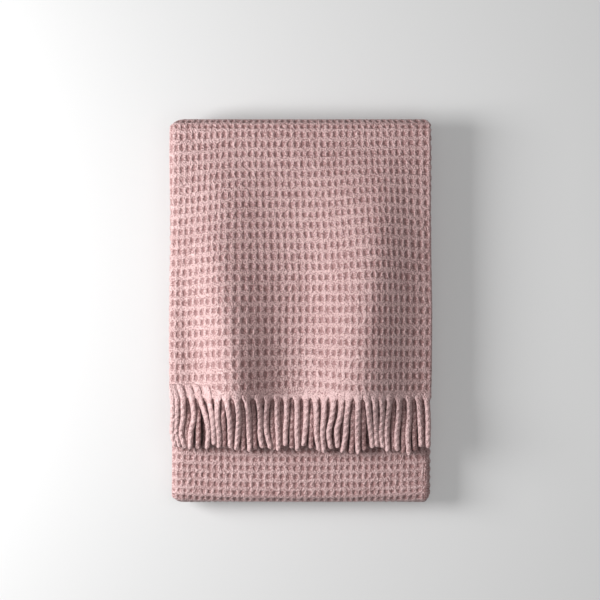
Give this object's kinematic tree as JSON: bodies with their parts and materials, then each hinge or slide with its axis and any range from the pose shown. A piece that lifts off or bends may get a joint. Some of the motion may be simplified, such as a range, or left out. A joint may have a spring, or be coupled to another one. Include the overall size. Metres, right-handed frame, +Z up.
{
  "type": "folded waffle blanket",
  "caption": "Folded waffle-weave throw with a twisted fringe, laid as a flat pile for a sofa arm, bed or shelf.",
  "frame": {"origin": "on the resting surface, under the middle of the folded pile", "axes": "+Z up, +Y from the front fold to the back fold under the top flap, +X to the right seen from above"},
  "size_m": [0.326, 0.476, 0.0884],
  "materials": {
    "waffle_cloth": "dusty pink cotton waffle weave, matt and slightly fuzzy",
    "fringe_yarn": "the same dusty pink yarn, twisted into two-ply ropes"
  },
  "bodies": {
    "root": {"blanket": "waffle_cloth", "fringe": "fringe_yarn"}
  },
  "joints": []
}
